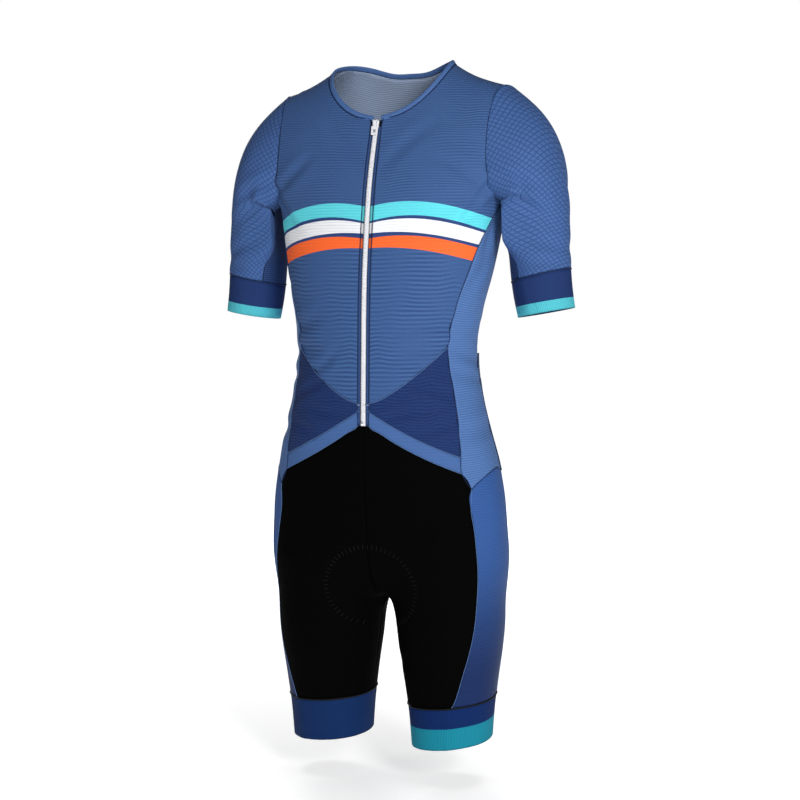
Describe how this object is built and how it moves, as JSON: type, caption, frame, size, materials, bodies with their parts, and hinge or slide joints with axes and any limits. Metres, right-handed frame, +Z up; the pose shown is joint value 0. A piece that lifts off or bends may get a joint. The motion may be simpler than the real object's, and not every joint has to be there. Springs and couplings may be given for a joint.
{
  "type": "cycling road suit",
  "caption": "One-piece short-sleeved, short-legged stretch suit with a full front zip and narrow collar binding, filled out as if worn, hollow and open at neck, cuffs and hems.",
  "frame": {"origin": "between the shoulders, on the body's middle line, where a wearer's shoulders carry the suit", "axes": "+Z up along the body, the front faces -Y, the wearer's left side is +X"},
  "size_m": [0.4778, 0.2134, 0.8857],
  "materials": {
    "royal_rib_knit": "matt ribbed knit",
    "navy_crinkle_knit": "matt crinkled knit",
    "light_blue_knit": "matt knit",
    "side_knit": "matt knit",
    "black_knit": "matt dense knit",
    "royal_knit": "matt dense knit",
    "sleeve_mesh": "matt cross-hatched mesh",
    "underarm_knit": "matt knit",
    "elastic_band": "smooth elastic band",
    "binding": "rolled binding",
    "zip_plastic": "moulded",
    "slider_metal": "lacquered"
  },
  "bodies": {
    "suit": {"front_left": "royal_rib_knit", "front_right": "royal_rib_knit", "belly_left": "navy_crinkle_knit", "belly_right": "navy_crinkle_knit", "band_left": "light_blue_knit", "band_right": "light_blue_knit", "side_left": "side_knit", "side_right": "side_knit", "back": "royal_rib_knit", "back_pocket": "royal_rib_knit", "shorts_front_left": "black_knit", "shorts_front_right": "black_knit", "shorts_back_left": "black_knit", "shorts_back_right": "black_knit", "leg_side_left": "royal_knit", "leg_side_right": "royal_knit", "leg_band_left": "elastic_band", "leg_band_right": "elastic_band", "sleeve_left": "sleeve_mesh", "sleeve_right": "sleeve_mesh", "sleeve_under_left": "underarm_knit", "sleeve_under_right": "underarm_knit", "cuff_left": "elastic_band", "cuff_right": "elastic_band", "collar": "binding", "zip_guard_left": "elastic_band", "zip_guard_right": "elastic_band", "zip_chain": "zip_plastic", "zip_slider": "slider_metal"},
    "zip_pull": {"zip_pull": "slider_metal"}
  },
  "joints": [
    {"name": "pull_tab_swing", "type": "hinge", "parent": "suit", "child": "zip_pull", "pos_m": [0, -0.06225, -0.0517], "axis": [-1, 0, 0], "range_deg": [0, 150]}
  ]
}
